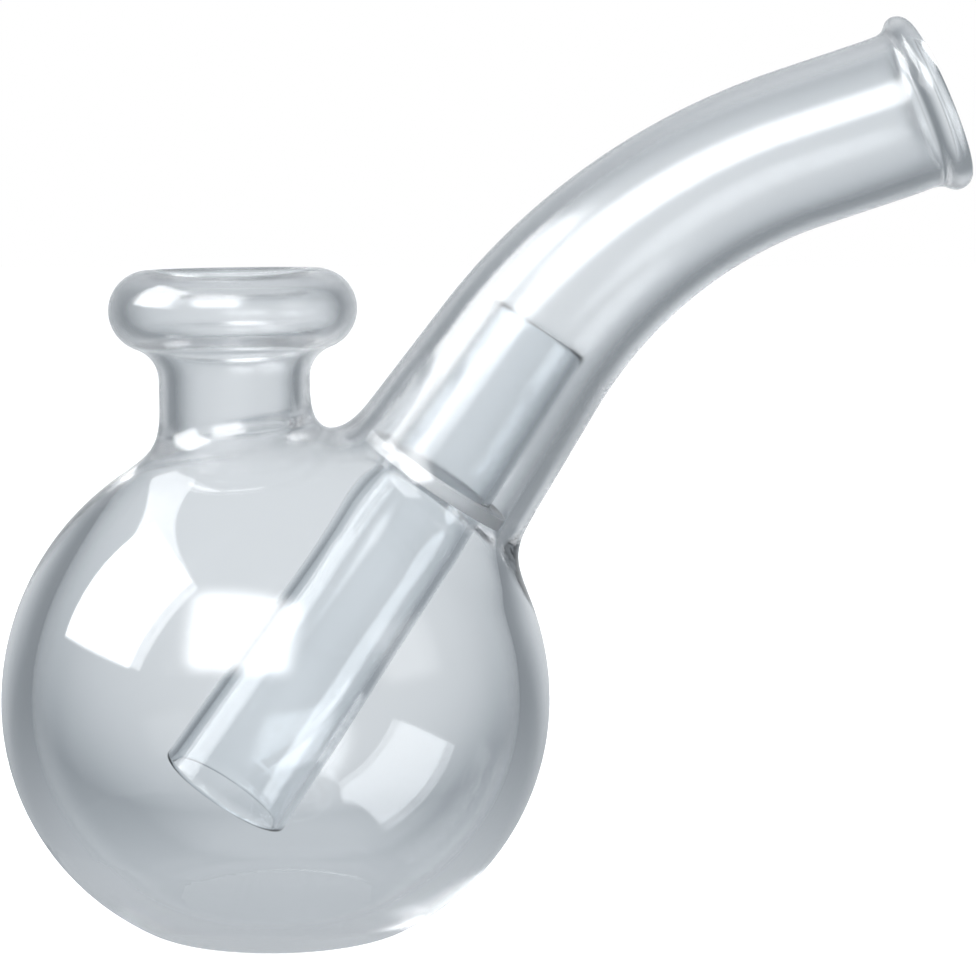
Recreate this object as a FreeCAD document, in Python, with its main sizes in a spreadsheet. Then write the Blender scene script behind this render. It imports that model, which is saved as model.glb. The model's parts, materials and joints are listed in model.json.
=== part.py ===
import FreeCAD, Part
import math
import os

import Sketcher
from FreeCAD import Placement, Rotation, Vector

# A retort flask for washing gas: a heavy round bulb with a flat base, a short neck with a rolled lip,
# and a bent side arm.  A tapered dip tube is sealed into the root of the arm and ends in the bulb.
# Every piece is a section that a glassblower blows, draws or rolls before welding it to its neighbour.
#
# The origin is the centre of the flat base.  +Z is up, +X is the side that the arm leans to, and the
# flask is symmetric about the XZ plane.

SIZES = [
    # alias, value in millimetres or degrees, what it is
    ("bulb_radius", 50.2, "outside radius of the bulb"),
    ("bulb_wall", 5.5, "wall of the bulb"),
    ("hip_offset", 3.7, "how far off the axis the bulb's lower half has its arc centre"),
    ("bulb_height", 42.8, "height of the bulb's centre above the base"),
    ("base_round", 14.0, "outside radius that rolls the bulb into its flat base"),
    ("floor_thickness", 7.0, "thickness of the glass under the bulb's floor"),
    ("floor_round", 11.0, "inside radius that rolls the bulb into its floor"),
    ("neck_foot_round", 5.0, "radius where the neck grows out of the bulb"),
    ("arm_foot_round", 4.0, "radius where the arm grows out of the bulb"),
    ("neck_offset", -6.6, "X of the neck's axis at the height of the bulb's centre"),
    ("neck_lean", 0.8, "angle by which the neck leans away from the arm"),
    ("neck_radius", 13.75, "outside radius of the neck"),
    ("neck_bore", 10.5, "radius of the neck's bore"),
    ("neck_start", 52.6, "distance from the bulb's centre height to the neck's lower weld"),
    ("neck_end", 59.0, "distance from the bulb's centre height to the lip's weld"),
    ("neck_flare", 25.0, "radius at which the neck's bore widens into the bulb"),
    ("flare_angle", 36.0, "angle through which the widening of the neck's bore turns"),
    ("lip_radius", 22.6, "largest radius of the rolled lip"),
    ("lip_bulge", 7.4, "outside radius of the lip's bulging section"),
    ("lip_fillet", 6.0, "outside radius under the lip"),
    ("rim_share", 0.54, "radius of a fire-polished edge, as a share of its wall"),
    ("arm_x", 44.0, "X of the point where the arm starts to bend"),
    ("arm_z", 104.8, "height of the point where the arm starts to bend"),
    ("arm_angle", 55.9, "angle of the arm's straight root above the base plane"),
    ("spout_angle", 18.5, "angle of the arm's end above the base plane"),
    ("bend_radius", 100.0, "radius of the arm's centre line in its bend"),
    ("arm_depth", 42.0, "how far the arm's axis is followed back into the bulb from the bend"),
    ("root_length", 23.0, "length of the arm's straight root above its weld to the bulb"),
    ("root_taper", 0.055, "how much the arm's outside radius grows for each millimetre towards the bulb"),
    ("bore_taper", 0.05, "how much the arm's bore radius grows for each millimetre towards the bulb"),
    ("arm_radius", 17.0, "outside radius of the arm where the bend starts"),
    ("arm_bore", 13.35, "bore radius of the arm where the bend starts"),
    ("mid_radius", 15.25, "outside radius of the arm halfway round the bend"),
    ("mid_bore", 11.95, "bore radius of the arm halfway round the bend"),
    ("spout_radius", 14.65, "outside radius of the arm after the bend"),
    ("spout_bore", 11.6, "bore radius of the arm after the bend"),
    ("spout_length", 19.8, "length of the straight spout"),
    ("mouth_lean", 5.0, "angle by which the mouth is tipped up from the spout"),
    ("mouth_radius", 16.6, "outside radius of the bead round the arm's mouth"),
    ("mouth_bead", 2.3, "radius of the bead's section"),
    ("mouth_fillet", 5.0, "outside radius by which the spout flares into the bead"),
    ("tube_below", 96.0, "length of the dip tube below the start of the bend"),
    ("tube_above", 7.7, "length of the dip tube above the start of the bend"),
    ("tube_foot_radius", 12.9, "outside radius of the dip tube at its lower end"),
    ("tube_top_radius", 9.9, "outside radius of the dip tube at its upper end"),
    ("tube_wall", 1.5, "wall of the dip tube"),
    ("seal_hollow", 2.6, "radius of the hollowed faces of the ring seal"),
    ("seal_level", 26.3, "distance of the ring seal's middle below the start of the bend"),
    ("seal_thickness", 2.6, "thickness of the ring seal along the tube"),
]

doc = FreeCAD.newDocument("retort_flask")
sheet = doc.addObject("Spreadsheet::Sheet", "Sizes")
for row, (alias, value, meaning) in enumerate(SIZES, start=1):
    sheet.set("A%d" % row, alias)
    sheet.set("B%d" % row, str(value))
    sheet.set("C%d" % row, meaning)
    sheet.setAlias("B%d" % row, alias)
doc.recompute()

CLOCKWISE = -1
ANTICLOCKWISE = 1

# Radii of the tapered bores and tubes at a level, measured along the arm from the start of the bend.
SEAL_LOW = "-(Sizes.seal_level + Sizes.seal_thickness / 2)"
SEAL_HIGH = "-(Sizes.seal_level - Sizes.seal_thickness / 2)"
TUBE_TAPER = "(Sizes.tube_foot_radius - Sizes.tube_top_radius) / (Sizes.tube_below + Sizes.tube_above)"

SPOUT_X = "Sizes.arm_x + Sizes.bend_radius * (sin(Sizes.arm_angle) - sin(Sizes.spout_angle))"
SPOUT_Z = "Sizes.arm_z + Sizes.bend_radius * (cos(Sizes.spout_angle) - cos(Sizes.arm_angle))"


def arm_radius_at(level):
    return "Sizes.arm_radius - Sizes.root_taper * (%s)" % level


def bore_radius_at(level):
    return "Sizes.arm_bore - Sizes.bore_taper * (%s)" % level


def tube_radius_at(level):
    return "Sizes.tube_top_radius + %s * (Sizes.tube_above - (%s))" % (TUBE_TAPER, level)


def size(expression):
    """The number that an expression in the sheet's names gives now."""
    return float(sheet.evalExpression(expression.replace("Sizes.", "")))


def origin_plane(body, role):
    return next(plane for plane in body.Origin.OriginFeatures if plane.Role == role)


def add_sketch(body, name, role):
    sketch = body.newObject("Sketcher::SketchObject", name)
    sketch.AttachmentSupport = (origin_plane(body, role), [""])
    sketch.MapMode = "FlatFace"
    return sketch


def constrain(sketch, name, expression, *constraint):
    """One sketch dimension that follows an expression in the sheet's names."""
    index = sketch.addConstraint(Sketcher.Constraint(*constraint, size(expression)))
    sketch.renameConstraint(index, name)
    sketch.setExpression("Constraints." + name, expression)


def arc_between(start, end, radius, turn):
    """The shorter arc from start to end, going round by the given turn."""
    chord = end - start
    middle = (start + end) * 0.5
    away = Vector(-chord.y, chord.x, 0).normalize()
    centre = middle + away * (turn * math.sqrt(max(radius**2 - (chord.Length / 2) ** 2, 0)))
    angles = [math.atan2(point.y - centre.y, point.x - centre.x) for point in (start, end)]
    if turn == CLOCKWISE:
        angles.reverse()
    return Part.ArcOfCircle(Part.Circle(centre, Vector(0, 0, 1), radius), *angles)


def draw_outline(sketch, corners):
    """A closed outline.  A corner is (radius, level), or (radius, level, arc radius, turn) where the edge
    that leaves it is an arc."""
    places = [Vector(size(corner[0]), size(corner[1]), 0) for corner in corners]
    starts = []
    ends = []
    for index, corner in enumerate(corners):
        start = places[index]
        end = places[(index + 1) % len(places)]
        if len(corner) == 2:
            sketch.addGeometry(Part.LineSegment(start, end), False)
        else:
            sketch.addGeometry(arc_between(start, end, size(corner[2]), corner[3]), False)
        backwards = len(corner) > 2 and corner[3] == CLOCKWISE
        starts.append((index, 2 if backwards else 1))
        ends.append((index, 1 if backwards else 2))
    for index, corner in enumerate(corners):
        following = starts[(index + 1) % len(corners)]
        sketch.addConstraint(Sketcher.Constraint("Coincident", *ends[index], *following))
        constrain(sketch, "radius_%d" % index, corner[0], "DistanceX", -1, 1, *starts[index])
        constrain(sketch, "level_%d" % index, corner[1], "DistanceY", -1, 1, *starts[index])
        if len(corner) > 2:
            constrain(sketch, "arc_%d" % index, corner[2], "Radius", index)


def place(thing, x, z, angle):
    """Puts a piece's own origin at x, z in the XZ plane and leans its own Z towards +X by an angle."""
    thing.Placement = Placement(Vector(size(x), 0, size(z)), Rotation(Vector(0, 1, 0), size(angle)))
    thing.setExpression("Placement.Base.x", x)
    thing.setExpression("Placement.Base.z", z)
    thing.setExpression("Placement.Rotation.Angle", angle)


def on_neck(thing):
    place(thing, "Sizes.neck_offset", "Sizes.bulb_height", "-Sizes.neck_lean")


def on_arm(thing):
    place(thing, "Sizes.arm_x", "Sizes.arm_z", "90 - Sizes.arm_angle")


def on_spout(thing):
    place(thing, SPOUT_X, SPOUT_Z, "90 - Sizes.spout_angle")


def on_mouth(thing):
    place(
        thing,
        SPOUT_X + " + Sizes.spout_length * cos(Sizes.spout_angle)",
        SPOUT_Z + " + Sizes.spout_length * sin(Sizes.spout_angle)",
        "90 - Sizes.spout_angle - Sizes.mouth_lean",
    )


def turned(label, corners, put_on=None):
    """A body turned about its own Z from an outline of radii and levels."""
    body = doc.addObject("PartDesign::Body", label)
    body.Label = label
    sketch = add_sketch(body, label + "_outline", "XZ_Plane")
    draw_outline(sketch, corners)
    revolution = body.newObject("PartDesign::Revolution", label + "_turned")
    revolution.Profile = sketch
    revolution.ReferenceAxis = (sketch, ["V_Axis"])
    revolution.Angle = 360.0
    if put_on:
        put_on(body)
    return body


def bulb_form(label, radius, floor, roll):
    """A ball whose lower half is drawn in a little and rolls round into a flat at the level floor."""
    hip = "(%s - Sizes.hip_offset)" % radius
    drop = "(Sizes.bulb_height - %s - %s)" % (floor, roll)
    reach = "sqrt((%s - %s)^2 - %s^2)" % (hip, roll, drop)
    stretch = "%s / (%s - %s)" % (hip, hip, roll)
    return turned(label, [
        ("0", "Sizes.bulb_height + %s" % radius, radius, CLOCKWISE),
        (radius, "Sizes.bulb_height", hip, CLOCKWISE),
        (
            "Sizes.hip_offset + %s * %s" % (reach, stretch),
            "Sizes.bulb_height - %s * %s" % (drop, stretch),
            roll,
            CLOCKWISE,
        ),
        ("Sizes.hip_offset + %s" % reach, floor),
        ("0", floor),
    ])


def combined(kind, label, base, tool):
    result = doc.addObject(kind, label)
    result.Base = base
    result.Tool = tool
    return result


def rounded(label, base, radius, chosen):
    """A fillet on the edges of base that chosen picks."""
    doc.recompute()
    fillet = doc.addObject("Part::Fillet", label)
    fillet.Base = base
    value = size(radius)
    fillet.Edges = [
        (index, value, value)
        for index, edge in enumerate(base.Shape.Edges, start=1)
        if chosen(edge)
    ]
    doc.recompute()
    return fillet


def joins_ball(radius):
    """Picks the edges that run round on a ball about the bulb's centre, above that centre."""
    centre = Vector(0, 0, size("Sizes.bulb_height"))

    def chosen(edge):
        span = edge.LastParameter - edge.FirstParameter
        along = [edge.valueAt(edge.FirstParameter + span * step / 6) for step in range(7)]
        on_ball = all(abs(point.distanceToPoint(centre) - radius) < 1e-3 for point in along)
        above = all(point.z > centre.z for point in along)
        is_seam = edge.BoundBox.YLength < 1e-3
        return on_ball and above and not is_seam
    return chosen


def make_bulb():
    """The bulb: a thick ball with a flat base, two pulled stubs and a bore through each of them."""
    outside = bulb_form("bulb_outside", "Sizes.bulb_radius", "0", "Sizes.base_round")
    inside = bulb_form(
        "bulb_inside",
        "(Sizes.bulb_radius - Sizes.bulb_wall)",
        "Sizes.floor_thickness",
        "Sizes.floor_round",
    )

    arm_end = "Sizes.root_length * -1"
    arm_stub = turned("arm_stub", [
        ("0", "-Sizes.arm_depth"),
        (arm_radius_at("-Sizes.arm_depth"), "-Sizes.arm_depth"),
        (arm_radius_at(arm_end), arm_end),
        ("0", arm_end),
    ], on_arm)
    arm_hole = turned("arm_hole", [
        ("0", "-Sizes.arm_depth"),
        (bore_radius_at("-Sizes.arm_depth"), "-Sizes.arm_depth"),
        (bore_radius_at("0"), "0"),
        ("0", "0"),
    ], on_arm)
    neck_stub = doc.addObject("Part::Cylinder", "neck_stub")
    neck_stub.setExpression("Radius", "Sizes.neck_radius")
    neck_stub.setExpression("Height", "Sizes.neck_start")
    on_neck(neck_stub)
    flare_foot = "Sizes.neck_start - Sizes.neck_flare * sin(Sizes.flare_angle)"
    neck_hole = turned("neck_hole", [
        ("0", "Sizes.neck_end"),
        ("Sizes.neck_bore", "Sizes.neck_end"),
        ("Sizes.neck_bore", "Sizes.neck_start", "Sizes.neck_flare", ANTICLOCKWISE),
        ("Sizes.neck_bore + Sizes.neck_flare * (1 - cos(Sizes.flare_angle))", flare_foot),
        ("0", flare_foot),
    ], on_neck)

    ball = size("Sizes.bulb_radius")
    solid = combined("Part::Fuse", "bulb_and_neck", outside, neck_stub)
    solid = rounded("neck_foot", solid, "Sizes.neck_foot_round", joins_ball(ball))
    solid = combined("Part::Fuse", "bulb_and_arm", solid, arm_stub)
    solid = rounded("arm_foot", solid, "Sizes.arm_foot_round", joins_ball(ball))
    hollow = combined("Part::Cut", "bulb_hollow", solid, inside)
    hollow = combined("Part::Cut", "bulb_neck_bored", hollow, neck_hole)
    return combined("Part::Cut", "bulb", hollow, arm_hole)


def make_neck():
    return turned("neck_tube", [
        ("Sizes.neck_bore", "Sizes.neck_start"),
        ("Sizes.neck_radius", "Sizes.neck_start"),
        ("Sizes.neck_radius", "Sizes.neck_end"),
        ("Sizes.neck_bore", "Sizes.neck_end"),
    ], on_neck)


def tangent_lean(tube, fillet, crown, bulge):
    """The angle at the centre of a concave fillet that starts on a tube and runs on into a bulge."""
    return "acos((%s + %s - %s) / (%s + %s))" % (tube, fillet, crown, fillet, bulge)


def make_lip():
    """A hollow rolled lip: the wall turns out from the neck, bulges and turns in again at its mouth."""
    wall = "(Sizes.neck_radius - Sizes.neck_bore)"
    crown = "(Sizes.lip_radius - Sizes.lip_bulge)"
    lean = tangent_lean("Sizes.neck_radius", "Sizes.lip_fillet", crown, "Sizes.lip_bulge")
    across = "Sizes.neck_radius + Sizes.lip_fillet - (Sizes.lip_fillet%s) * cos(" + lean + ")"
    above = "Sizes.neck_end + (Sizes.lip_fillet%s) * sin(" + lean + ")"
    middle = above % " + Sizes.lip_bulge"
    return turned("rolled_lip", [
        ("Sizes.neck_radius", "Sizes.neck_end", "Sizes.lip_fillet", CLOCKWISE),
        (across % "", above % "", "Sizes.lip_bulge", ANTICLOCKWISE),
        (crown, middle + " + Sizes.lip_bulge", wall + " * Sizes.rim_share", ANTICLOCKWISE),
        (crown, middle + " + Sizes.lip_bulge - " + wall, "Sizes.lip_bulge - " + wall, CLOCKWISE),
        (across % (" + " + wall), above % (" + " + wall), "Sizes.lip_fillet + " + wall, ANTICLOCKWISE),
        ("Sizes.neck_bore", "Sizes.neck_end"),
    ], on_neck)


def make_arm_root():
    """The straight root of the arm, which narrows from the bulb to the bend."""
    low = "-Sizes.root_length"
    return turned("arm_root", [
        (bore_radius_at(low), low),
        (arm_radius_at(low), low),
        (arm_radius_at("0"), "0"),
        (bore_radius_at("0"), "0"),
    ], on_arm)


def bend_pipe(body, kind, name, spine, radii):
    """A pipe, added or taken away, through round sections spread evenly round the bend."""
    sections = []
    for index, radius in enumerate(radii):
        turn = "((Sizes.arm_angle - Sizes.spout_angle) * %d / %d)" % (index, len(radii) - 1)
        sketch = add_sketch(body, "%s_section_%d" % (name, index), "XY_Plane")
        sketch.AttachmentOffset = Placement(Vector(), Rotation(Vector(0, 1, 0), size(turn)))
        sketch.setExpression("AttachmentOffset.Rotation.Angle", turn)
        sketch.setExpression("AttachmentOffset.Base.x", "Sizes.bend_radius * (1 - cos(%s))" % turn)
        sketch.setExpression("AttachmentOffset.Base.z", "Sizes.bend_radius * sin(%s)" % turn)
        sketch.addGeometry(Part.Circle(Vector(), Vector(0, 0, 1), size(radius)), False)
        sketch.addConstraint(Sketcher.Constraint("Coincident", 0, 3, -1, 1))
        constrain(sketch, "radius", radius, "Radius", 0)
        sections.append(sketch)
    pipe = body.newObject(kind, name)
    pipe.Profile = sections[0]
    pipe.Sections = sections[1:]
    pipe.Spine = spine
    pipe.Transformation = "Multisection"
    doc.recompute()
    return pipe


def make_arm_bend():
    """The bend of the arm, drawn down a little in width as it was bent."""
    body = doc.addObject("PartDesign::Body", "arm_bend")
    body.Label = "arm_bend"
    spine = add_sketch(body, "bend_line", "XZ_Plane")
    centre = Vector(size("Sizes.bend_radius"), 0, 0)
    swing = math.radians(size("Sizes.arm_angle - Sizes.spout_angle"))
    circle = Part.Circle(centre, Vector(0, 0, 1), centre.x)
    spine.addGeometry(Part.ArcOfCircle(circle, math.pi - swing, math.pi), False)
    spine.addConstraint(Sketcher.Constraint("Coincident", 0, 2, -1, 1))
    spine.addConstraint(Sketcher.Constraint("PointOnObject", 0, 3, -1))
    constrain(spine, "radius", "Sizes.bend_radius", "Radius", 0)
    constrain(
        spine, "rise", "Sizes.bend_radius * sin(Sizes.arm_angle - Sizes.spout_angle)",
        "DistanceY", -1, 1, 0, 1
    )
    bend_pipe(body, "PartDesign::AdditivePipe", "bend_outside", spine,
              ["Sizes.arm_radius", "Sizes.mid_radius", "Sizes.spout_radius"])
    bend_pipe(body, "PartDesign::SubtractivePipe", "bend_bore", spine,
              ["Sizes.arm_bore", "Sizes.mid_bore", "Sizes.spout_bore"])
    on_arm(body)
    return body


def make_spout():
    """The straight end of the arm, cut off square to the tipped mouth."""
    tube_end = "Sizes.spout_length + Sizes.spout_radius * sin(Sizes.mouth_lean)"
    tube = turned("spout_tube", [
        ("Sizes.spout_bore", "0"),
        ("Sizes.spout_radius", "0"),
        ("Sizes.spout_radius", tube_end),
        ("Sizes.spout_bore", tube_end),
    ], on_spout)
    beyond = doc.addObject("Part::Cylinder", "beyond_the_spout")
    beyond.setExpression("Radius", "2 * Sizes.spout_radius")
    beyond.setExpression("Height", "2 * Sizes.spout_radius")
    on_mouth(beyond)
    return combined("Part::Cut", "arm_spout", tube, beyond)


def make_mouth():
    """The mouth of the arm: the wall flares out into a solid fire-polished bead."""
    crown = "(Sizes.mouth_radius - Sizes.mouth_bead)"
    lean = tangent_lean("Sizes.spout_radius", "Sizes.mouth_fillet", crown, "Sizes.mouth_bead")
    middle = "(Sizes.mouth_fillet + Sizes.mouth_bead) * sin(%s)" % lean
    return turned("flared_mouth", [
        ("Sizes.spout_radius", "0", "Sizes.mouth_fillet", CLOCKWISE),
        (
            "Sizes.spout_radius + Sizes.mouth_fillet * (1 - cos(%s))" % lean,
            "Sizes.mouth_fillet * sin(%s)" % lean,
            "Sizes.mouth_bead",
            ANTICLOCKWISE,
        ),
        (crown, middle + " + Sizes.mouth_bead", "Sizes.mouth_bead", ANTICLOCKWISE),
        (crown + " - Sizes.mouth_bead", middle),
        ("Sizes.spout_bore", "0"),
    ], on_mouth)


def make_dip_tube():
    """The tapered dip tube, with both ends fire-polished round."""
    low = "-Sizes.tube_below"
    high = "Sizes.tube_above"
    edge = "Sizes.tube_wall * Sizes.rim_share"
    return turned("dip_tube", [
        (tube_radius_at(low) + " - Sizes.tube_wall", low, edge, ANTICLOCKWISE),
        (tube_radius_at(low), low),
        (tube_radius_at(high), high, edge, ANTICLOCKWISE),
        (tube_radius_at(high) + " - Sizes.tube_wall", high),
    ], on_arm)


def make_ring_seal():
    """The ring of glass that welds the dip tube into the arm, hollowed above and below."""
    return turned("ring_seal", [
        (tube_radius_at(SEAL_LOW), SEAL_LOW, "Sizes.seal_hollow", CLOCKWISE),
        (bore_radius_at(SEAL_LOW), SEAL_LOW),
        (bore_radius_at(SEAL_HIGH), SEAL_HIGH, "Sizes.seal_hollow", CLOCKWISE),
        (tube_radius_at(SEAL_HIGH), SEAL_HIGH),
    ], on_arm)


pieces = [
    make_bulb(),
    make_neck(),
    make_lip(),
    make_arm_root(),
    make_arm_bend(),
    make_spout(),
    make_mouth(),
    make_dip_tube(),
    make_ring_seal(),
]
doc.recompute()

for thing in doc.Objects:
    if "Invalid" in thing.State or "Error" in thing.State:
        raise RuntimeError("%s could not be built: %s" % (thing.Label, thing.State))
for piece in pieces:
    if piece.Shape.isNull() or not piece.Shape.isValid():
        raise RuntimeError("%s has no valid shape" % piece.Label)

os.makedirs("parts", exist_ok=True)
for piece in pieces:
    piece.Shape.exportStep("parts/%s.step" % piece.Label)
    box = piece.Shape.BoundBox
    print("%s: %d solid, %.0f mm3, x %.1f to %.1f, y %.1f to %.1f, z %.1f to %.1f" % (
        piece.Label, len(piece.Shape.Solids), piece.Shape.Volume,
        box.XMin, box.XMax, box.YMin, box.YMax, box.ZMin, box.ZMax,
    ))
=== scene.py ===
"""Looks for a retort flask of thick clear glass: a flat-bottomed bulb, a short neck with a rolled lip, a
bent side arm with a flared mouth, and a dip tube held in the arm by a ring seal.

The wall of the flask is one flowing surface, worked out from the distance to its blown shapes, then cut
at the flame welds into the sections that the frame names.  Lengths are in metres."""

import json
import math

import bmesh
import bpy
import numpy as np
from mathutils import Matrix, Vector


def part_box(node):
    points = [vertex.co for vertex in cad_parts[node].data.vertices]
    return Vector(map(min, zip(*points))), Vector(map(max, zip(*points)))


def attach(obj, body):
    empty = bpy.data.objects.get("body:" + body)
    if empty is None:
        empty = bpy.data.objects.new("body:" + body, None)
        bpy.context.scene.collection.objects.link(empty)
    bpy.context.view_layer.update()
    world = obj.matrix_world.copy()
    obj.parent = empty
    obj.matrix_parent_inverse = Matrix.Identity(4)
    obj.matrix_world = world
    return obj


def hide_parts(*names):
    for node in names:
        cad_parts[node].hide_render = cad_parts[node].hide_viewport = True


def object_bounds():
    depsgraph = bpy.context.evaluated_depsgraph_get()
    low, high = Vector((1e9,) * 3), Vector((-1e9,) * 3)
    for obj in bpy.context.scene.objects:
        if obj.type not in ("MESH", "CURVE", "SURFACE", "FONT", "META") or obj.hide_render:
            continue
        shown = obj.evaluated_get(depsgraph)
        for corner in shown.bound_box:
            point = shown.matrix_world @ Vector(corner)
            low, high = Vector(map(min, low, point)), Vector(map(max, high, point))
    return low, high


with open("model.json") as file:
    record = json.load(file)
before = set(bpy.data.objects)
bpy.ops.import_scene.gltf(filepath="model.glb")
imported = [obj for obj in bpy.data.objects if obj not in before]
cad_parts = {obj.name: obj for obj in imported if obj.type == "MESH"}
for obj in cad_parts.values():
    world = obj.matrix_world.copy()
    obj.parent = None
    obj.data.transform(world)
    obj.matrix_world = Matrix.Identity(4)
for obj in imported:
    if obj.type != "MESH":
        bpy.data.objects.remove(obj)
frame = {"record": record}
cad_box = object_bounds()

MM = 0.001
record = frame["record"]
mounts = {mount["name"]: mount for mount in record["mounts"]}

# ---------------------------------------------------------------- driving sizes, as in the design
BULB_RADIUS = (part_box("bulb")[1][0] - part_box("bulb")[0][0]) / 2
BULB_HEIGHT = 42.8 * MM
BULB_WALL = 5.5 * MM
HIP_OFFSET = 3.7 * MM
FLOOR_THICKNESS = 7.0 * MM
BASE_ROUND = 14.0 * MM
FLOOR_ROUND = 11.0 * MM
NECK_RADIUS = 13.75 * MM
NECK_BORE = mounts["neck_bore"]["dims"]["r_mm"] * MM
NECK_START = 52.6 * MM
NECK_END = 59.0 * MM
LIP_RADIUS = 22.6 * MM
LIP_BULGE = 7.4 * MM
LIP_FILLET = 6.0 * MM
ARM_START = Vector((44.0, 0.0, 104.8)) * MM
ARM_ANGLE = math.radians(55.9)
SPOUT_ANGLE = math.radians(18.5)
MOUTH_ANGLE = math.radians(23.5)
BEND_RADIUS = 100.0 * MM
ROOT_LENGTH = 23.0 * MM
SPOUT_LENGTH = 19.8 * MM
BEND_FOOT_RADIUS = 17.0 * MM
BEND_FOOT_BORE = 13.35 * MM
SPOUT_RADIUS = 14.65 * MM
SPOUT_BORE = mounts["arm_bore"]["dims"]["r_mm"] * MM
MOUTH_RADIUS = 16.6 * MM
MOUTH_BEAD = 2.3 * MM
MOUTH_FILLET = 5.0 * MM
ARM_DEPTH = 60.0 * MM
FLARE_LENGTH = 9.0 * MM
TUBE_BELOW = 96.0 * MM
TUBE_ABOVE = 7.7 * MM
TUBE_FOOT_RADIUS = 12.9 * MM
TUBE_TOP_RADIUS = 9.9 * MM
TUBE_WALL = 1.5 * MM
SEAL_LEVEL = 26.3 * MM
SEAL_THICKNESS = 2.6 * MM
SEAL_HOLLOW = 0.85 * MM
WELD_GAP = 0.05 * MM

# How fast the arm's radius and its bore's radius change along the root.  Both shrink going up.
ROOT_TAPER = -0.062
BORE_TAPER = -0.052
# About the cosine of that taper, because a wall's distance is measured square to it.
TAPER_COSINE = 0.998

# Fillets, as the distance over which two forms run into each other.  The one at the foot of the neck's
# bore fades out over NECK_FADE, down to a share that is never quite zero.
CROTCH_REACH = 3.0 * MM
FOOT_REACH = 9.0 * MM
NECK_REACH = 30.0 * MM
NECK_FADE = 12.0 * MM
LEAST_FADE = 0.001
ARM_REACH = 12.0 * MM
MOUTH_REACH = 1.5 * MM

# The mesh, and how far round the neck and the arm a point still counts as theirs.
CELL = 1.0 * MM
LIP_SPACE = 1.3 * LIP_RADIUS
MOUTH_SPACE = 1.5 * MOUTH_RADIUS
LIP_AROUND = 1.2 * LIP_RADIUS
MOUTH_AROUND = 1.4 * MOUTH_RADIUS
CUT_REACH = 1.25 * LIP_RADIUS
BOX_MARGIN = 2.5 * CELL
ENDS_MARGIN = 4.5 * CELL
MOUTH_MARGIN = 2.0 * CELL
SETTLE_ROUNDS = 4


# ---------------------------------------------------------------- shapes as distances
def smooth_least(a, b, reach):
    """The lesser of two distances, with a fillet where they are within reach of each other."""
    h = np.maximum(reach - np.abs(a - b), 0) / reach
    return np.minimum(a, b) - h**3 * reach / 6


def length2(a, b):
    """The length of a vector with two parts."""
    return np.sqrt(a * a + b * b)


def bulb_form(points, radius, floor, roll):
    """Distance to the bulb's form: a ball whose lower half is drawn in and rolls into a flat floor."""
    rho = length2(points[:, 0], points[:, 1])
    up = points[:, 2] - BULB_HEIGHT
    hip = radius - HIP_OFFSET
    side = np.where(up > 0, length2(rho, up) - radius, length2(rho - HIP_OFFSET, up) - hip)
    flat = floor - points[:, 2]
    # The roll is an arc that runs on from the hip and into the floor.
    drop = BULB_HEIGHT - floor - roll
    reach = math.sqrt((hip - roll) ** 2 - drop**2)
    across = rho - HIP_OFFSET - reach
    above = up + drop
    in_roll = (across > 0) & (above < 0) & (across * drop < -above * reach)
    return np.where(in_roll, length2(across, above) - roll, np.maximum(side, flat))


def in_neck(points):
    """Distance from the neck's axis and level along it from the height of the bulb's centre."""
    axis = np.array(mounts["neck_bore"]["axis"])
    place = np.array(mounts["neck_bore"]["pos_m"])
    foot = place - axis * (place[2] - BULB_HEIGHT) / axis[2]
    apart = points - foot
    level = apart @ axis
    across = apart - level[:, None] * axis
    return np.sqrt((across**2).sum(1)), level


def lip_wall(rho, level):
    """Distance to the rolled lip: a bent wall of even thickness with a round edge."""
    wall = NECK_RADIUS - NECK_BORE
    half = wall / 2
    crown = LIP_RADIUS - LIP_BULGE
    fillet = np.array([NECK_RADIUS + LIP_FILLET, NECK_END])
    lean = math.acos((fillet[0] - crown) / (LIP_FILLET + LIP_BULGE))
    middle = np.array([crown, NECK_END + (LIP_FILLET + LIP_BULGE) * math.sin(lean)])
    # Straight neck below the lip.
    neck = length2(rho - (NECK_BORE + half), np.maximum(level - NECK_END, 0)) - half
    # Concave arc out of the neck.
    dx, dy = rho - fillet[0], level - fillet[1]
    turn = np.arctan2(dy, -dx)
    on_arc = np.clip(turn, 0, lean)
    radius = LIP_FILLET + half
    concave = length2(dx + radius * np.cos(on_arc), dy - radius * np.sin(on_arc)) - half
    # Bulge, from below the crown, round the outside and over to the mouth.
    dx, dy = rho - middle[0], level - middle[1]
    turn = np.arctan2(dy, dx)
    # The angle starts again in the curl's hollow, away from the glass.
    seam = -math.pi / 2 - 0.6
    turn = np.where(turn < seam, turn + 2 * math.pi, turn)
    on_arc = np.clip(turn, -lean, math.pi / 2)
    radius = LIP_BULGE - half
    bulge = length2(dx - radius * np.cos(on_arc), dy - radius * np.sin(on_arc)) - half
    return np.minimum(np.minimum(neck, concave), bulge)


# The arm's centre line in the XZ plane: start, direction, length and curvature of each stretch.
ARM_STRETCHES = []


def along_stretch(start, angle, curvature, distance):
    """Where a stretch has got to after a distance, and its direction there."""
    if curvature == 0:
        return (start[0] + distance * math.cos(angle), start[1] + distance * math.sin(angle)), angle
    turned_to = angle - distance * curvature
    radius = 1 / curvature
    x = start[0] + radius * (math.sin(angle) - math.sin(turned_to))
    z = start[1] + radius * (math.cos(turned_to) - math.cos(angle))
    return (x, z), turned_to


def lay_stretch(start, angle, length, curvature):
    """Adds a stretch of the centre line and returns where and in what direction it ends."""
    ARM_STRETCHES.append((start, angle, length, curvature))
    return along_stretch(start, angle, curvature, length)


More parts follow.
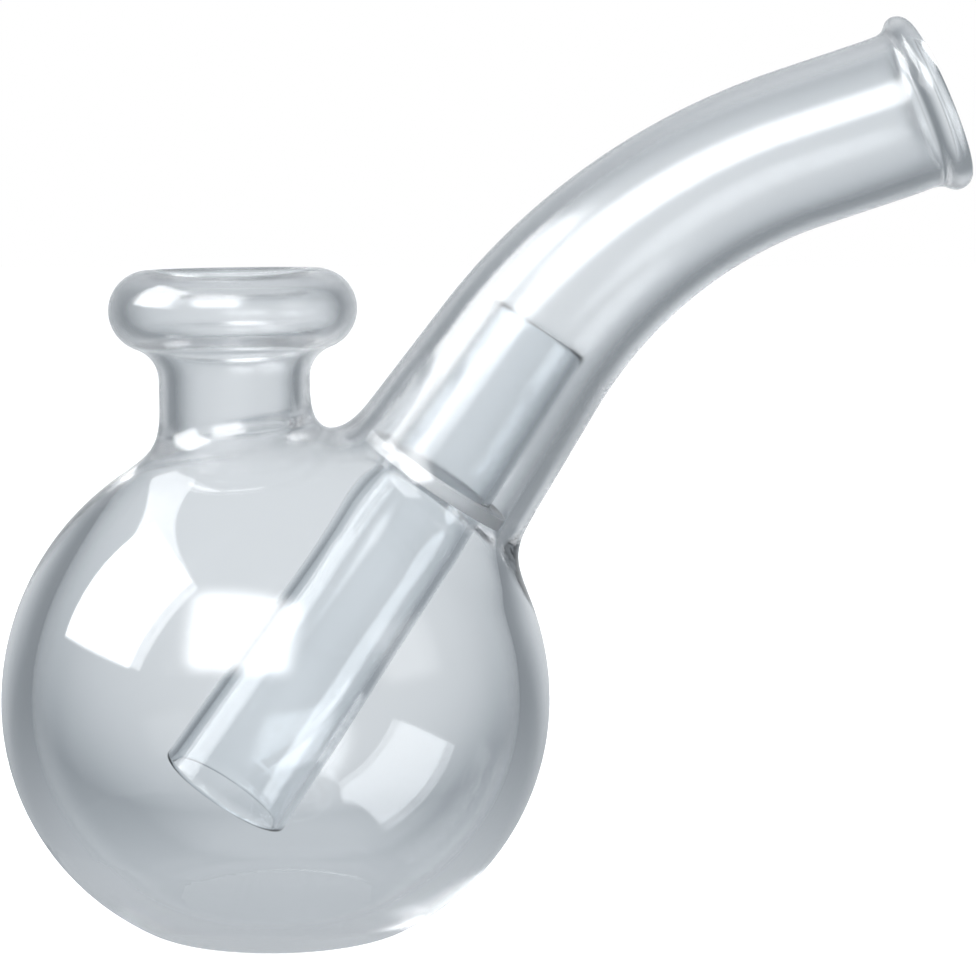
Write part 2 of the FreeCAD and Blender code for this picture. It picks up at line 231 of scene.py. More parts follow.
BEND_LENGTH = BEND_RADIUS * (ARM_ANGLE - SPOUT_ANGLE)
bend_start = (ARM_START.x, ARM_START.z)
root_start = (
    bend_start[0] - ROOT_LENGTH * math.cos(ARM_ANGLE),
    bend_start[1] - ROOT_LENGTH * math.sin(ARM_ANGLE),
)
at, facing = lay_stretch(root_start, ARM_ANGLE, ROOT_LENGTH, 0)
at, facing = lay_stretch(at, facing, BEND_LENGTH, 1 / BEND_RADIUS)
at, facing = lay_stretch(at, facing, SPOUT_LENGTH - FLARE_LENGTH / 2, 0)
at, facing = lay_stretch(at, facing, FLARE_LENGTH, (SPOUT_ANGLE - MOUTH_ANGLE) / FLARE_LENGTH)
lay_stretch(at, facing, FLARE_LENGTH, 0)
SPOUT_END = BEND_LENGTH + SPOUT_LENGTH


def in_arm(points):
    """Distance from the arm's centre line, and distance along it from the start of the bend."""
    x, z = points[:, 0], points[:, 2]
    best = np.full(len(x), np.inf)
    along = np.zeros(len(x))
    passed = -ROOT_LENGTH
    last = len(ARM_STRETCHES) - 1
    for index, (start, angle, length, curvature) in enumerate(ARM_STRETCHES):
        dx, dz = x - start[0], z - start[1]
        if curvature == 0:
            t = dx * math.cos(angle) + dz * math.sin(angle)
            off = -dx * math.sin(angle) + dz * math.cos(angle)
        else:
            radius = 1 / curvature
            cx = dx - radius * math.sin(angle)
            cz = dz + radius * math.cos(angle)
            sign = math.copysign(1, radius)
            swept = np.arctan2(-cx * sign, cz * sign)
            t = (angle - swept) * radius
            off = (length2(cx, cz) - abs(radius)) * sign
        low = -np.inf if index == 0 else 0.0
        high = np.inf if index == last else length
        beyond = np.maximum(np.maximum(low - t, t - high), 0)
        miss = length2(off, beyond)
        nearer = miss < best
        best = np.where(nearer, miss, best)
        along = np.where(nearer, passed + np.clip(t, low, high), along)
        passed += length
    return length2(best, points[:, 1]), along


def eased(at, start, end, first, last, first_slope, last_slope):
    """A smooth curve from first to last between two places, with the slopes given at its ends."""
    span = end - start
    t = np.clip((at - start) / span, 0, 1)
    blend = (
        first * (2 * t**3 - 3 * t**2 + 1)
        + first_slope * span * (t**3 - 2 * t**2 + t)
        + last * (3 * t**2 - 2 * t**3)
        + last_slope * span * (t**3 - t**2)
    )
    return blend + first_slope * np.minimum(at - start, 0) + last_slope * np.maximum(at - end, 0)


def arm_radius(along):
    """The arm's outside radius: it tapers along the root and evens out over the bend."""
    return eased(along, 0, BEND_LENGTH, BEND_FOOT_RADIUS, SPOUT_RADIUS, ROOT_TAPER, 0)


def arm_bore(along):
    """The radius of the arm's bore, which tapers in the same way."""
    return eased(along, 0, BEND_LENGTH, BEND_FOOT_BORE, SPOUT_BORE, BORE_TAPER, 0)


def mouth_wall(rho, along):
    """Distance to the arm's end: a straight wall that flares into a round bead."""
    wall = SPOUT_RADIUS - SPOUT_BORE
    half = wall / 2
    crown = MOUTH_RADIUS - MOUTH_BEAD
    fillet = np.array([SPOUT_RADIUS + MOUTH_FILLET, SPOUT_END])
    lean = math.acos((fillet[0] - crown) / (MOUTH_FILLET + MOUTH_BEAD))
    middle = np.array([crown, SPOUT_END + (MOUTH_FILLET + MOUTH_BEAD) * math.sin(lean)])
    straight = length2(rho - (SPOUT_BORE + half), np.maximum(along - SPOUT_END, 0)) - half
    dx, dy = rho - fillet[0], along - fillet[1]
    on_arc = np.clip(np.arctan2(dy, -dx), 0, lean)
    radius = MOUTH_FILLET + half
    concave = length2(dx + radius * np.cos(on_arc), dy - radius * np.sin(on_arc)) - half
    bead = length2(rho - middle[0], along - middle[1]) - MOUTH_BEAD
    return smooth_least(np.minimum(straight, concave), bead, MOUTH_REACH)


def flask_wall(points):
    """Distance to the glass of the flask's wall, negative inside the glass."""
    neck_rho, neck_level = in_neck(points)
    arm_rho, arm_along = in_arm(points)
    outside = bulb_form(points, BULB_RADIUS, 0.0, BASE_ROUND)
    neck_side = np.maximum(neck_rho - NECK_RADIUS, -neck_level)
    arm_side = np.maximum((arm_rho - arm_radius(arm_along)) * TAPER_COSINE, -(arm_along + ARM_DEPTH))
    outside = smooth_least(outside, smooth_least(neck_side, arm_side, CROTCH_REACH), FOOT_REACH)
    inside = bulb_form(points, BULB_RADIUS - BULB_WALL, FLOOR_THICKNESS, FLOOR_ROUND)
    neck_hole = np.maximum(neck_rho - NECK_BORE, -neck_level)
    # The bore's fillet fades out at the neck's weld, so that the bore is straight above it.
    fade = np.clip((NECK_START - neck_level) / NECK_FADE, LEAST_FADE, 1)
    neck_reach = NECK_REACH * fade**2 * (3 - 2 * fade)
    arm_hole = np.maximum((arm_rho - arm_bore(arm_along)) * TAPER_COSINE, -(arm_along + ARM_DEPTH))
    inside = smooth_least(smooth_least(inside, neck_hole, neck_reach), arm_hole, ARM_REACH)
    wall = np.maximum(outside, -inside)
    over_neck = (neck_level > NECK_END - CELL / 2) & (neck_rho < LIP_SPACE)
    at_mouth = (arm_along > SPOUT_END - FLARE_LENGTH / 2) & (arm_rho < MOUTH_SPACE)
    wall = np.where(over_neck & (neck_rho < arm_rho), lip_wall(neck_rho, neck_level), wall)
    return np.where(at_mouth, mouth_wall(arm_rho, arm_along), wall)


def steepest(field, points, step=0.02 * MM):
    """The gradient of a field at points."""
    parts = []
    for axis in range(3):
        shift = np.zeros(3)
        shift[axis] = step
        parts.append((field(points + shift) - field(points - shift)) / (2 * step))
    return np.stack(parts, 1)


def settled(field, points, limit):
    """Points moved onto the surface where field is zero."""
    for _ in range(SETTLE_ROUNDS):
        gradient = steepest(field, points)
        steepness = np.maximum((gradient**2).sum(1), 1e-6)
        push = field(points) / steepness
        points = points - np.clip(push, -limit, limit)[:, None] * gradient
    return points


def surface_of(field, low, high, cell):
    """A quad mesh on the surface where field is zero: one point for each grid cell that it crosses."""
    counts = np.ceil((high - low) / cell).astype(int) + 1
    axes = [low[i] + cell * np.arange(counts[i]) for i in range(3)]
    grid = np.stack(np.meshgrid(*axes, indexing="ij"), -1).reshape(-1, 3)
    chunk = 400_000
    values = np.concatenate([field(grid[i:i + chunk]) for i in range(0, len(grid), chunk)])
    values = values.reshape(counts)
    inside = values < 0

    # A cell is crossed where its eight corners don't agree.
    corners = [
        tuple(slice(d, d + counts[i] - 1) for i, d in enumerate((dx, dy, dz)))
        for dx in (0, 1) for dy in (0, 1) for dz in (0, 1)
    ]
    full = sum(inside[c].astype(np.int8) for c in corners)
    crossed = (full > 0) & (full < 8)
    number = np.full(crossed.shape, -1)
    number[crossed] = np.arange(crossed.sum())
    where = np.argwhere(crossed)

    # Its point is the mean of the places where its edges cross, moved onto the surface.
    total = np.zeros((len(where), 3))
    hits = np.zeros(len(where))
    for axis in range(3):
        step = np.eye(3, dtype=int)[axis]
        others = [np.eye(3, dtype=int)[o] for o in range(3) if o != axis]
        for offset in (others[0] * a + others[1] * b for a in (0, 1) for b in (0, 1)):
            first = where + offset
            second = first + step
            va = values[tuple(first.T)]
            vb = values[tuple(second.T)]
            cut = (va < 0) != (vb < 0)
            share = np.where(cut, va / np.where(cut, va - vb, 1), 0)
            total += np.where(cut[:, None], first + share[:, None] * step, 0)
            hits += cut
    points = low + cell * total / hits[:, None]
    points = settled(field, points, cell / 2)

    # Each grid edge that crosses the surface gives the quad of the four cells round it.
    quads = []
    for axis in range(3):
        u, v = [o for o in range(3) if o != axis]
        first = [slice(1, n - 1) for n in counts]
        first[axis] = slice(0, counts[axis] - 1)
        second = list(first)
        second[axis] = slice(1, counts[axis])
        a = inside[tuple(first)]
        b = inside[tuple(second)]
        edge = np.argwhere(a != b)
        out_first = a[tuple(edge.T)]
        edge = edge + np.array([0 if i == axis else 1 for i in range(3)])
        back_u, back_v = np.zeros(3, int), np.zeros(3, int)
        back_u[u] = back_v[v] = 1
        ring = [edge, edge - back_u, edge - back_u - back_v, edge - back_v]
        quad = np.stack([number[tuple(c.T)] for c in ring], 1)
        flip = out_first != (axis == 1)
        quad[flip] = quad[flip][:, ::-1]
        quads.append(quad)
    return points, np.concatenate(quads)[:, ::-1]


# ---------------------------------------------------------------- sections of the wall
def neck_plane(level):
    """The point of the neck's axis at a level above the bulb's centre, and its direction."""
    axis = Vector(mounts["neck_bore"]["axis"])
    place = Vector(mounts["neck_bore"]["pos_m"])
    foot = place - axis * ((place.z - BULB_HEIGHT) / axis.z)
    return foot + axis * level, axis


def arm_plane(along):
    """The point of the arm's centre line at a distance along it, and its direction there."""
    left = along + ROOT_LENGTH
    for start, angle, length, curvature in ARM_STRETCHES:
        if left <= length:
            break
        left -= length
    (x, z), facing = along_stretch(start, angle, curvature, left)
    return Vector((x, 0, z)), Vector((math.cos(facing), 0, math.sin(facing)))


def cut_at(mesh, place, normal, reach):
    """Cuts every face within reach of a weld, so that a row of edges runs along the weld."""
    near = [f for f in mesh.faces if (f.calc_center_median() - place).length < reach]
    edges = {e for f in near for e in f.edges}
    verts = {v for f in near for v in f.verts}
    on_plane = CELL * 0.02
    bmesh.ops.bisect_plane(
        mesh, geom=near + list(edges) + list(verts), plane_co=place, plane_no=normal, dist=on_plane,
    )


def refine(mesh, wanted):
    """Halves the edges of the faces whose middles are wanted, and brings the new points to the surface."""
    chosen = wanted(np.array([f.calc_center_median() for f in mesh.faces]))
    edges = {e for f, pick in zip(mesh.faces, chosen) if pick for e in f.edges}
    done = bmesh.ops.subdivide_edges(mesh, edges=list(edges), cuts=1, use_grid_fill=True)
    fresh = [item for item in done["geom_inner"] if isinstance(item, bmesh.types.BMVert)]
    for vert, point in zip(fresh, settled(flask_wall, np.array([v.co for v in fresh]), CELL / 2)):
        vert.co = point


def near_end(points, margin):
    """Which points are on the lip, and which on the mouth, or within a margin below them."""
    neck_rho, level = in_neck(points)
    arm_rho, along = in_arm(points)
    lip = (neck_rho < LIP_AROUND) & (level > NECK_END - margin) & (neck_rho < arm_rho)
    mouth = (arm_rho < MOUTH_AROUND) & (along > SPOUT_END - margin)
    return lip, mouth


# The seven sections of the wall, up the neck and then along the arm.
WALL_NODES = (
    "bulb", "neck_tube", "rolled_lip", "arm_root", "arm_bend", "arm_spout", "flared_mouth",
)
ARM_AROUND = 1.3 * arm_radius(-ROOT_LENGTH)


def section_of(centres):
    """The number of the section that each face belongs to, in the order of WALL_NODES."""
    neck_rho, neck_level = in_neck(centres)
    arm_rho, arm_along = in_arm(centres)
    by_neck = (neck_rho < LIP_AROUND) & (neck_level > NECK_START) & (neck_rho < arm_rho)
    section = np.zeros(len(centres), int)
    for number, level in ((1, NECK_START), (2, NECK_END)):
        section[by_neck & (neck_level > level)] = number
    on_arm = ~by_neck & (arm_rho < ARM_AROUND)
    for number, along in ((3, -ROOT_LENGTH), (4, 0), (5, BEND_LENGTH), (6, SPOUT_END)):
        section[on_arm & (arm_along > along)] = number
    return section


def new_object(name, points, faces, material):
    """A mesh object in the scene."""
    mesh = bpy.data.meshes.new(name)
    mesh.from_pydata(points, [], faces)
    mesh.materials.append(material)
    item = bpy.data.objects.new(name, mesh)
    bpy.context.scene.collection.objects.link(item)
    return item


def new_piece(name, points, faces, material):
    """A mesh object with smooth shading."""
    piece = new_object(name, points, faces, material)
    piece.data.polygons.foreach_set("use_smooth", [True] * len(piece.data.polygons))
    return piece


def register(piece, node):
    """Says which body a piece rides on, which node it replaces and which material slot it fills."""
    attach(piece, "root")
    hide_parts(node)


def make_wall(material):
    """The seven sections of the flask's wall, cut from one surface and shaded by its own form."""
    low = np.array([cad_box[0][i] for i in range(3)]) - BOX_MARGIN
    high = np.array([cad_box[1][i] for i in range(3)]) + BOX_MARGIN
    points, quads = surface_of(flask_wall, low, high, CELL)
    mesh = bmesh.new()
    verts = [mesh.verts.new(p) for p in points]
    for quad in quads:
        mesh.faces.new([verts[i] for i in quad])
    refine(mesh, lambda points: np.logical_or(*near_end(points, ENDS_MARGIN)))
    refine(mesh, lambda points: near_end(points, MOUTH_MARGIN)[1])
    for place, normal in (
        neck_plane(NECK_START), neck_plane(NECK_END), arm_plane(-ROOT_LENGTH), arm_plane(0),
        arm_plane(BEND_LENGTH), arm_plane(SPOUT_END),
    ):
        cut_at(mesh, place, normal, CUT_REACH)
    mesh.verts.index_update()
    everywhere = np.array([v.co for v in mesh.verts])
    normals = steepest(flask_wall, everywhere)
    normals /= np.linalg.norm(normals, axis=1)[:, None]
    faces = [[v.index for v in f.verts] for f in mesh.faces]
    centres = np.array([f.calc_center_median() for f in mesh.faces])
    mesh.free()
    section = section_of(centres)
    for number, node in enumerate(WALL_NODES):
        mine = [faces[i] for i in np.nonzero(section == number)[0]]
        used = sorted({i for face in mine for i in face})
        renumber = {old: new for new, old in enumerate(used)}
        piece = new_piece(
            node + "_glass", [tuple(p) for p in everywhere[used]],
            [[renumber[i] for i in face] for face in mine], material,
        )
        piece.data.normals_split_custom_set_from_vertices([tuple(n) for n in normals[used]])
        register(piece, node)


# ---------------------------------------------------------------- turned pieces in the arm
TURN_STEPS = 128
ROUND_STEPS = 8
TUBE_ROWS = 60
SEAL_STEPS = 12
SHARP_ANGLE = math.radians(50)


def arm_frame():
    """The frame of the arm's straight root: its own Z runs along the arm."""
    return Matrix.Translation(ARM_START) @ Matrix.Rotation(math.pi / 2 - ARM_ANGLE, 4, "Y")


def turned(name, outline, material):
    """A closed piece turned about the arm's axis from a closed outline of (radius, level)."""
    count = len(outline)
    points = []
    faces = []
    for step in range(TURN_STEPS):
        angle = 2 * math.pi * step / TURN_STEPS
        here = step * count
        ahead = (step + 1) % TURN_STEPS * count
        for radius, level in outline:
            points.append((radius * math.cos(angle), radius * math.sin(angle), level))
        for index in range(count):
            after = (index + 1) % count
            faces.append([here + index, ahead + index, ahead + after, here + after])
    piece = new_piece(name, points, faces, material)
    piece.data.transform(arm_frame())
    piece.data.set_sharp_from_angle(angle=SHARP_ANGLE)
    return piece


def arc(centre, radius, start, end, steps):
    """Points on an arc, without its last point."""
    angles = [start + (end - start) * i / steps for i in range(steps)]
    return [(centre[0] + radius * math.cos(a), centre[1] + radius * math.sin(a)) for a in angles]


def line(start, end, steps):
    """Points on a straight line, without its last point."""
    shares = [i / steps for i in range(steps)]
    return [
        (start[0] + (end[0] - start[0]) * s, start[1] + (end[1] - start[1]) * s) for s in shares
    ]


def tube_radius(level):
    """The dip tube's outside radius at a level along the arm."""
    share = (TUBE_ABOVE - level) / (TUBE_BELOW + TUBE_ABOVE)
    return TUBE_TOP_RADIUS + (TUBE_FOOT_RADIUS - TUBE_TOP_RADIUS) * share


def make_dip_tube(material):
    """The dip tube: a tapered tube with fire-polished ends."""
    half = TUBE_WALL / 2
    foot = (tube_radius(-TUBE_BELOW) - half, -TUBE_BELOW + half)
    top = (tube_radius(TUBE_ABOVE) - half, TUBE_ABOVE - half)
    outline = arc(foot, half, math.pi, 2 * math.pi, ROUND_STEPS)
    outline += line((foot[0] + half, foot[1]), (top[0] + half, top[1]), TUBE_ROWS)
    outline += arc(top, half, 0, math.pi, ROUND_STEPS)
    outline += line((top[0] - half, top[1]), (foot[0] - half, foot[1]), TUBE_ROWS)
    register(turned("dip_tube_glass", outline, material), "dip_tube")


def make_ring_seal(material):
    """The ring seal, hollowed above and below where the hot glass drew up both walls."""
    outline = []
    for side, steps in ((-1, range(SEAL_STEPS + 1)), (1, range(SEAL_STEPS, -1, -1))):
        level = -SEAL_LEVEL + side * SEAL_THICKNESS / 2
        inner = tube_radius(level) + WELD_GAP
        outer = arm_bore(level) - WELD_GAP
        for step in steps:
            share = step / SEAL_STEPS
            hollow = SEAL_HOLLOW * (1 - (2 * share - 1) ** 2)
            outline.append((inner + (outer - inner) * share, level - side * hollow))
    register(turned("ring_seal_glass", outline, material), "ring_seal")


# ---------------------------------------------------------------- materials
GLASS_IOR = 1.473
CLEAR_TINT = (0.955, 0.966, 0.975)
TUBE_TINT = (0.96, 0.975, 0.985)
SEAL_TINT = (0.99, 0.995, 1.0)
STREAK_STRETCH = 0.06
HAZE_FROM = 0.35
HAZE_TO = 0.75
HAZE_SPREAD = 0.03
SHOULDER = 78.0 * MM
HAZE_RISE = 14.0 * MM
WEAR_FOOT = 4.0 * MM
WEAR_TOP = 14.0 * MM


def new_material(name):
    """A material with nodes: the material, its nodes, its links and its shader."""
    material = bpy.data.materials.new(name)
    material.use_nodes = True
    nodes = material.node_tree.nodes
    return material, nodes, material.node_tree.links, nodes["Principled BSDF"]


def ramp(nodes, links, value, start, end, first, last, kind="SMOOTHSTEP"):
    """A number that goes from first to last while a value goes from start to end."""
    node = nodes.new("ShaderNodeMapRange")
    node.interpolation_type = kind
    node.inputs["From Min"].default_value = start
    node.inputs["From Max"].default_value = end
    node.inputs["To Min"].default_value = first
    node.inputs["To Max"].default_value = last
    links.new(value, node.inputs["Value"])
    return node.outputs["Result"]


def worked_out(nodes, links, kind, *values):
    """What a math node makes of one or two values."""
    node = nodes.new("ShaderNodeMath")
    node.operation = kind
    for socket, value in zip(node.inputs, values):
        links.new(value, socket)
    return node.outputs["Value"]


def mixed(nodes, links, share, first, second):
    """One shader that changes into another as a share goes from 0 to 1."""
    mix = nodes.new("ShaderNodeMixShader")
    links.new(share, mix.inputs["Fac"])
    links.new(first, mix.inputs[1])
    links.new(second, mix.inputs[2])
    return mix.outputs["Shader"]


def noise(nodes, links, place, scale, detail):
    """A noise of a scale and detail, sampled at a place."""
    node = nodes.new("ShaderNodeTexNoise")
    node.inputs["Scale"].default_value = scale
    node.inputs["Detail"].default_value = detail
    links.new(place, node.inputs["Vector"])
    return node.outputs["Fac"]


def glass(
    name, tint, streak_scale, streak_height, wave_scale, wave_height,
    haze_level=0.0, end_haze=0.0, clarity=1.0,
):
    """Clear blown glass, with faint drawing streaks along the arm, slow waves in its skin and a trace of
    haze that comes and goes.  End haze softens the neck and arm above the bulb's shoulder, and the worn
    edge of the base.  Clarity is the share of light that goes through, and the rest is scattered."""
    material, nodes, links, shader = new_material(name)
    shader.inputs["Base Color"].default_value = (*tint, 1)
    shader.inputs["Transmission Weight"].default_value = clarity
    shader.inputs["IOR"].default_value = GLASS_IOR
    place = nodes.new("ShaderNodeTexCoord")
    stretch = nodes.new("ShaderNodeMapping")
    stretch.inputs["Rotation"].default_value = (0, math.pi / 2 - ARM_ANGLE, 0)
    stretch.inputs["Scale"].default_value = (1, 1, STREAK_STRETCH)
    links.new(place.outputs["Object"], stretch.inputs["Vector"])
    streaks = noise(nodes, links, stretch.outputs["Vector"], streak_scale, 2)
    waves = noise(nodes, links, place.outputs["Object"], wave_scale, 1)
    skin = nodes.new("ShaderNodeMix")
    skin.inputs["Factor"].default_value = streak_height / (streak_height + wave_height)
    links.new(waves, skin.inputs["A"])
    links.new(streaks, skin.inputs["B"])
    bump = nodes.new("ShaderNodeBump")
    bump.inputs["Strength"].default_value = 1.0
    bump.inputs["Distance"].default_value = streak_height + wave_height
    links.new(skin.outputs["Result"], bump.inputs["Height"])
    links.new(bump.outputs["Normal"], shader.inputs["Normal"])
    height = nodes.new("ShaderNodeSeparateXYZ")
    links.new(place.outputs["Object"], height.inputs["Vector"])
    level = height.outputs["Z"]
    haze = ramp(
        nodes, links, waves, HAZE_FROM, HAZE_TO, haze_level, haze_level + HAZE_SPREAD, "LINEAR",
    )
    ends = ramp(nodes, links, level, SHOULDER, SHOULDER + HAZE_RISE, 0.0, end_haze)
    worn = ramp(nodes, links, level, WEAR_FOOT, WEAR_TOP, end_haze, 0.0)
    upper = worked_out(nodes, links, "ADD", haze, ends)
    links.new(worked_out(nodes, links, "ADD", upper, worn), shader.inputs["Roughness"])
    return material


# ---------------------------------------------------------------- studio
BULB_MIDDLE = (0, 0, BULB_HEIGHT)
CAMERA_PITCH = math.radians(5.0)

# What the flask sees round it, by direction: a dim room with pale panels.
ROOM_LEVEL = 0.27
ROOM_TINT = (0.90, 0.985, 1.065)
PANEL_TINT = (0.955, 0.99, 1.018)
PANELS = (
    # middle, angle where it starts to fade, angle where it is gone, brightness
    ((-0.03, math.cos(CAMERA_PITCH), -math.sin(CAMERA_PITCH)), 5.0, 42.0, 0.80),
    ((0.0, -1.0, 0.0), 10.0, 45.0, 0.6),
    ((0.0, 0.75, 0.66), 10.0, 40.0, 0.66),
    ((0.0, 0.75, -0.66), 10.0, 40.0, 0.60),
    ((0.0, 0.0, -1.0), 35.0, 90.0, 0.55),
    ((0.0, 0.0, 1.0), 20.0, 80.0, 0.72),
)
BRIGHTEST_PANEL = max(panel[3] for panel in PANELS)

FLOOR_REACH = 6.0
FLOOR_GREY = 0.25
FLOOR_ROUGHNESS = 0.9
FLOOR_TINT = (0.97, 0.985, 1.0)
FLOOR_GLOW = 0.975

# Softboxes.  Each is dimmer after the light has passed some walls, and brighter for scattered light.
WINDOW_MIDDLE = Vector((0.02, 0.0, 0.08))
WINDOW_DISTANCE = 1.6
WINDOW_TINT = (0.98, 0.99, 1.0)
DEEP_WALLS = 3.0
DEEP_SHARE = 0.4
SCATTER_SHARE = 3.0
WINDOWS = (
    # name, direction, half width, half height, brightness, share of its size over which its edge fades
    ("side_window", (-0.80, -0.12, 0.55), 0.64, 0.62, 12.0, 0.10),
    ("front_window", (-0.20, -0.80, 0.57), 0.90, 0.66, 12.5, 0.50),
    ("right_window", (0.83, -0.42, 0.36), 0.60, 0.50, 2.0, 0.60),
)


def surroundings(nodes, links, direction):
    """The colour of the studio in a direction from the flask: a dim room with pale panels that fade away
    from their middles."""
    most = None
    for facing, inner, outer, level in PANELS:
        along = nodes.new("ShaderNodeVectorMath")
        along.operation = "DOT_PRODUCT"
        along.inputs[1].default_value = facing
        links.new(direction, along.inputs[0])
        angle = worked_out(nodes, links, "ARCCOSINE", along.outputs["Value"])
        panel = ramp(nodes, links, angle, math.radians(inner), math.radians(outer), level, ROOM_LEVEL)
        most = panel if most is None else worked_out(nodes, links, "MAXIMUM", most, panel)
    tint = nodes.new("ShaderNodeMix")
    tint.data_type = "RGBA"
    tint.inputs["A"].default_value = (*ROOM_TINT, 1)
    tint.inputs["B"].default_value = (*PANEL_TINT, 1)
    share = ramp(nodes, links, most, ROOM_LEVEL, BRIGHTEST_PANEL, 0.0, 1.0, "LINEAR")
    links.new(share, tint.inputs["Factor"])
    colour = nodes.new("ShaderNodeVectorMath")
    colour.operation = "SCALE"
    links.new(tint.outputs["Result"], colour.inputs[0])
    links.new(most, colour.inputs["Scale"])
    return colour.outputs["Vector"]


def pale_stage():
    """A pale floor.  The flask sees it as part of the dim studio, and the camera sees it brightly lit."""
    material, nodes, links, shader = new_material("pale_stage")
    shader.inputs["Base Color"].default_value = (FLOOR_GREY, FLOOR_GREY, FLOOR_GREY, 1)
    shader.inputs["Roughness"].default_value = FLOOR_ROUGHNESS
    shader.inputs["Specular IOR Level"].default_value = 0.0
    shader.inputs["Emission Color"].default_value = (*FLOOR_TINT, 1)
    shader.inputs["Emission Strength"].default_value = FLOOR_GLOW
    place = nodes.new("ShaderNodeTexCoord")
    apart = nodes.new("ShaderNodeVectorMath")
    apart.operation = "SUBTRACT"
    apart.inputs[1].default_value = BULB_MIDDLE
    links.new(place.outputs["Object"], apart.inputs[0])
    direction = nodes.new("ShaderNodeVectorMath")
    direction.operation = "NORMALIZE"
    links.new(apart.outputs["Vector"], direction.inputs[0])
    dim = nodes.new("ShaderNodeEmission")
    links.new(surroundings(nodes, links, direction.outputs["Vector"]), dim.inputs["Color"])
    ray = nodes.new("ShaderNodeLightPath")
    seen = mixed(
        nodes, links, ray.outputs["Is Camera Ray"], dim.outputs["Emission"], shader.outputs["BSDF"],
    )
    links.new(seen, nodes["Material Output"].inputs["Surface"])
    return material


def window_light(name, level, edge):
    """A softbox's face, evenly bright with edges that fade over a share of its size.  It is dimmer for the
    back walls of the glass, so that the reflections on the front stand out, and brighter for light that
    the glass scatters, so that the milky seal shows up."""
    material, nodes, links, _ = new_material(name)
    place = nodes.new("ShaderNodeTexCoord")
    apart = nodes.new("ShaderNodeSeparateXYZ")
    links.new(place.outputs["Object"], apart.inputs["Vector"])
    faded = []
    for side in ("X", "Y"):
        size = worked_out(nodes, links, "ABSOLUTE", apart.outputs[side])
        faded.append(ramp(nodes, links, size, 1.0, 1.0 - edge, 0.0, 1.0))
    both = worked_out(nodes, links, "MULTIPLY", *faded)
    ray = nodes.new("ShaderNodeLightPath")
    walls = ray.outputs["Transmission Depth"]
    deep = ramp(nodes, links, walls, 0.0, DEEP_WALLS, level, level * DEEP_SHARE, "LINEAR")
    scattered = ramp(nodes, links, ray.outputs["Diffuse Depth"], 0.0, 1.0, 1.0, SCATTER_SHARE, "LINEAR")
    seen = worked_out(nodes, links, "MULTIPLY", deep, scattered)
    glow = nodes.new("ShaderNodeEmission")
    glow.inputs["Color"].default_value = (*WINDOW_TINT, 1)
    links.new(worked_out(nodes, links, "MULTIPLY", both, seen), glow.inputs["Strength"])
    clear = nodes.new("ShaderNodeBsdfTransparent")
    face = mixed(nodes, links, both, clear.outputs["BSDF"], glow.outputs["Emission"])
    links.new(face, nodes["Material Output"].inputs["Surface"])
    return material


def make_floor():
    """A pale floor that reaches to the horizon."""
    reach = FLOOR_REACH
    corners = [(-reach, -reach, 0), (reach, -reach, 0), (reach, reach, 0), (-reach, reach, 0)]
    new_object("stage_floor", corners, [[0, 1, 2, 3]], pale_stage())


def add_window(name, direction, width, height, level, edge):
    """A softbox out from the flask in a direction, with its half width and half height in metres."""
    corners = [(-1, -1, 0), (1, -1, 0), (1, 1, 0), (-1, 1, 0)]
    card = new_object(name, corners, [[0, 1, 2, 3]], window_light(name, level, edge))
    out = Vector(direction).normalized()
    card.location = WINDOW_MIDDLE + out * WINDOW_DISTANCE
    card.rotation_euler = out.to_track_quat("Z", "Y").to_euler()
    card.scale = (width, height, 1)
    card.visible_camera = False


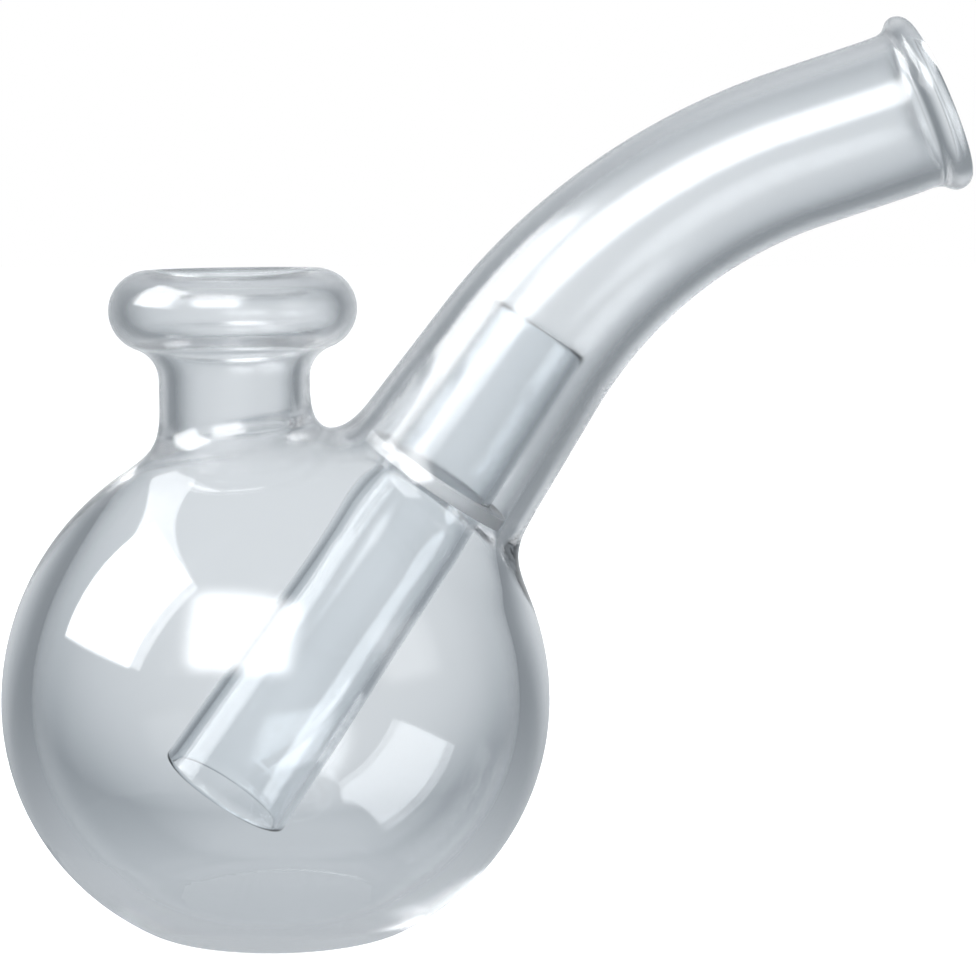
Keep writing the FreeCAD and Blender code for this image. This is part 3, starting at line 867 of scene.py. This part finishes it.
def make_world():
    """White behind the flask for the camera, and the dim studio for everything that the glass shows."""
    world = bpy.data.worlds.new("studio")
    world.use_nodes = True
    nodes, links = world.node_tree.nodes, world.node_tree.links
    dim = nodes["Background"]
    place = nodes.new("ShaderNodeTexCoord")
    links.new(surroundings(nodes, links, place.outputs["Generated"]), dim.inputs["Color"])
    bright = nodes.new("ShaderNodeBackground")
    bright.inputs["Color"].default_value = (1, 1, 1, 1)
    ray = nodes.new("ShaderNodeLightPath")
    seen = mixed(
        nodes, links, ray.outputs["Is Camera Ray"], dim.outputs["Background"],
        bright.outputs["Background"],
    )
    links.new(seen, nodes["World Output"].inputs["Surface"])
    bpy.context.scene.world = world


# ---------------------------------------------------------------- camera
CAMERA_AIM = Vector((38.83, 0.0, 81.8)) * MM
CAMERA_DISTANCE = 0.6
SENSOR_WIDTH = 36.0
LENS_LENGTH = 121.0
CLIP_START = 0.01


def make_camera():
    """A camera at the photograph's viewing angle: from the front, and a little above."""
    camera_data = bpy.data.cameras.new("camera")
    camera_data.sensor_width = SENSOR_WIDTH
    camera_data.lens = LENS_LENGTH
    camera_data.clip_start = CLIP_START
    camera = bpy.data.objects.new("camera", camera_data)
    back = Vector((0, -math.cos(CAMERA_PITCH), math.sin(CAMERA_PITCH)))
    camera.location = CAMERA_AIM + back * CAMERA_DISTANCE
    camera.rotation_euler = (-back).to_track_quat("-Z", "Y").to_euler()
    bpy.context.scene.collection.objects.link(camera)
    bpy.context.scene.camera = camera


# Light goes to and fro many times inside thick glass, and too few bounces leave black patches.
LIGHT_BOUNCES = 48


def main():
    """Makes the flask, the studio round it and the camera."""
    wall = glass(
        "wall_glass", CLEAR_TINT, streak_scale=60, streak_height=0.001 * MM,
        wave_scale=14, wave_height=0.008 * MM, end_haze=0.16,
    )
    tube = glass(
        "tube_glass", TUBE_TINT, streak_scale=90, streak_height=0.0004 * MM,
        wave_scale=30, wave_height=0.001 * MM,
    )
    seal = glass(
        "seal_glass", SEAL_TINT, streak_scale=120, streak_height=0.002 * MM,
        wave_scale=90, wave_height=0.01 * MM, haze_level=0.15, clarity=0.55,
    )
    make_wall(wall)
    make_dip_tube(tube)
    make_ring_seal(seal)
    make_floor()
    for window in WINDOWS:
        add_window(*window)
    make_world()
    make_camera()
    scene = bpy.context.scene
    scene.view_settings.view_transform = "Standard"
    scene.cycles.max_bounces = LIGHT_BOUNCES
    scene.cycles.transmission_bounces = LIGHT_BOUNCES
    scene.cycles.glossy_bounces = LIGHT_BOUNCES
    scene.cycles.caustics_refractive = True
    scene.cycles.caustics_reflective = False


main()
